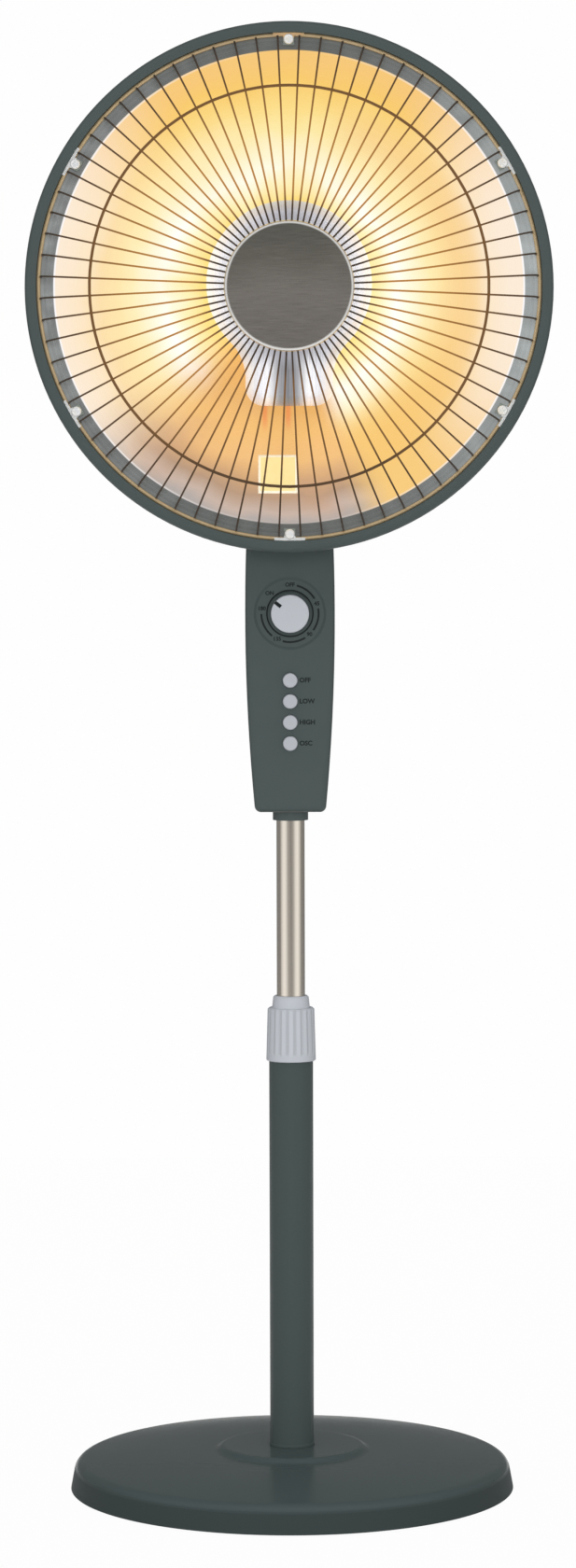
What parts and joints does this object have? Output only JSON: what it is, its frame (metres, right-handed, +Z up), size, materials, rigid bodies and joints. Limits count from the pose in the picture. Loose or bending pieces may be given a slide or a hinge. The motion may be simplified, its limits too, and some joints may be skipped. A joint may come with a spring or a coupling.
{
  "type": "halogen heater",
  "caption": "Free-standing halogen heater: round reflector head behind a wire guard, tilting and oscillating on a control housing over a telescopic pole and round base.",
  "frame": {"origin": "middle of the round base, on the floor", "axes": "+Z up the pole, the lit face of the head looks along -Y, +X to the right seen from the front"},
  "size_m": [0.4, 0.348, 1.1373],
  "materials": {
    "base_gloss": "gloss, dark grey",
    "dark_plastic": "satin, dark grey",
    "knob_dark": "satin, dark grey",
    "pole_paint": "satin powder coat, dark grey",
    "dark_metal": "satin, dark grey",
    "light_plastic": "satin, light grey",
    "tube_steel": "bright plated",
    "reflector_aluminium": "satin bright, lit by the lamp",
    "bronze_wire": "bronze plated wire",
    "hub_steel": "brushed",
    "shield_steel": "polished",
    "clip_steel": "bright",
    "plain_steel": "plain",
    "zinc": "zinc plated",
    "brass": "plain",
    "quartz": "clear",
    "filament": "hot wire",
    "ceramic": "matt",
    "nylon": "plain",
    "rubber": "matt",
    "iron": "raw"
  },
  "bodies": {
    "stand": {"base_cover": "base_gloss", "base_plate": "dark_plastic", "base_weight": "iron", "base_feet": "rubber", "base_screws": "zinc", "base_bolt": "zinc", "lower_pole": "pole_paint", "pole_plug": "nylon", "pole_collet": "nylon"},
    "clamp_nut": {"clamp_nut": "light_plastic"},
    "mast": {"upper_tube": "tube_steel", "guide_bush": "nylon", "swivel_stem": "dark_metal", "spindle_clip": "plain_steel", "osc_arm": "plain_steel"},
    "control_housing": {"housing_front": "dark_plastic", "housing_rear": "dark_plastic", "housing_screws": "zinc", "swivel_bush": "nylon", "timer_unit": "nylon", "switch_bank": "nylon", "switch_screws": "zinc", "terminal_block": "nylon", "tip_switch": "nylon", "cord_gland": "dark_plastic", "osc_motor": "plain_steel", "motor_screws": "zinc", "tilt_fork": "dark_plastic", "fork_screws": "zinc", "tilt_bolt": "zinc", "tilt_nut": "zinc", "tilt_washers": "nylon"},
    "crank": {"osc_crank": "nylon"},
    "timer_knob": {"timer_shaft": "brass", "knob_skirt": "knob_dark", "knob_cap": "light_plastic"},
    "button_off": {"button_off": "light_plastic"},
    "button_low": {"button_low": "light_plastic"},
    "button_high": {"button_high": "light_plastic"},
    "button_osc": {"button_osc": "light_plastic"},
    "head": {"front_ring": "dark_plastic", "rear_cover": "dark_plastic", "cover_screws": "zinc", "reflector": "reflector_aluminium", "grille": "bronze_wire", "hub_disc": "hub_steel", "hub_plate": "plain_steel", "grille_clips": "clip_steel", "clip_screws": "zinc", "lamp_tube": "quartz", "lamp_filament": "filament", "lamp_caps": "ceramic", "lamp_bracket": "plain_steel", "shield_post": "plain_steel", "post_nut": "zinc", "lamp_shield": "shield_steel", "shield_screw": "zinc", "lamp_terminal": "ceramic", "tilt_lug": "dark_plastic", "lug_screws": "zinc"}
  },
  "joints": [
    {"name": "height_slide", "type": "slide", "parent": "stand", "child": "mast", "axis": [0, 0, 1], "range_m": [-0.13, 0.11]},
    {"name": "clamp_turn", "type": "hinge", "parent": "stand", "child": "clamp_nut", "pos_m": [0, 0, 0.36], "axis": [0, 0, 1], "range_deg": [0, 180]},
    {"name": "oscillate", "type": "hinge", "parent": "mast", "child": "control_housing", "pos_m": [0, 0, 0.54], "axis": [0, 0, 1], "range_deg": [-40, 40]},
    {"name": "crank_turn", "type": "hinge", "parent": "control_housing", "child": "crank", "pos_m": [0, 0.009, 0.5605], "axis": [0, 0, 1], "range_deg": [-131, 131]},
    {"name": "timer_turn", "type": "hinge", "parent": "control_housing", "child": "timer_knob", "pos_m": [0, -0.034, 0.6897], "axis": [0, 1, 0], "range_deg": [0, 332]},
    {"name": "press_off", "type": "slide", "parent": "control_housing", "child": "button_off", "axis": [0, 1, 0], "range_m": [0, 0.0035], "stiffness_N_per_m": 400},
    {"name": "press_low", "type": "slide", "parent": "control_housing", "child": "button_low", "axis": [0, 1, 0], "range_m": [0, 0.0035], "stiffness_N_per_m": 400},
    {"name": "press_high", "type": "slide", "parent": "control_housing", "child": "button_high", "axis": [0, 1, 0], "range_m": [0, 0.0035], "stiffness_N_per_m": 400},
    {"name": "press_osc", "type": "slide", "parent": "control_housing", "child": "button_osc", "axis": [0, 1, 0], "range_m": [0, 0.0035], "stiffness_N_per_m": 400},
    {"name": "head_tilt", "type": "hinge", "parent": "control_housing", "child": "head", "pos_m": [0, 0.013, 0.7903], "axis": [1, 0, 0], "range_deg": [-25, 12]}
  ],
  "couplings": [
    {"joint": "crank_turn", "follows": "oscillate", "ratio": -3.25}
  ]
}
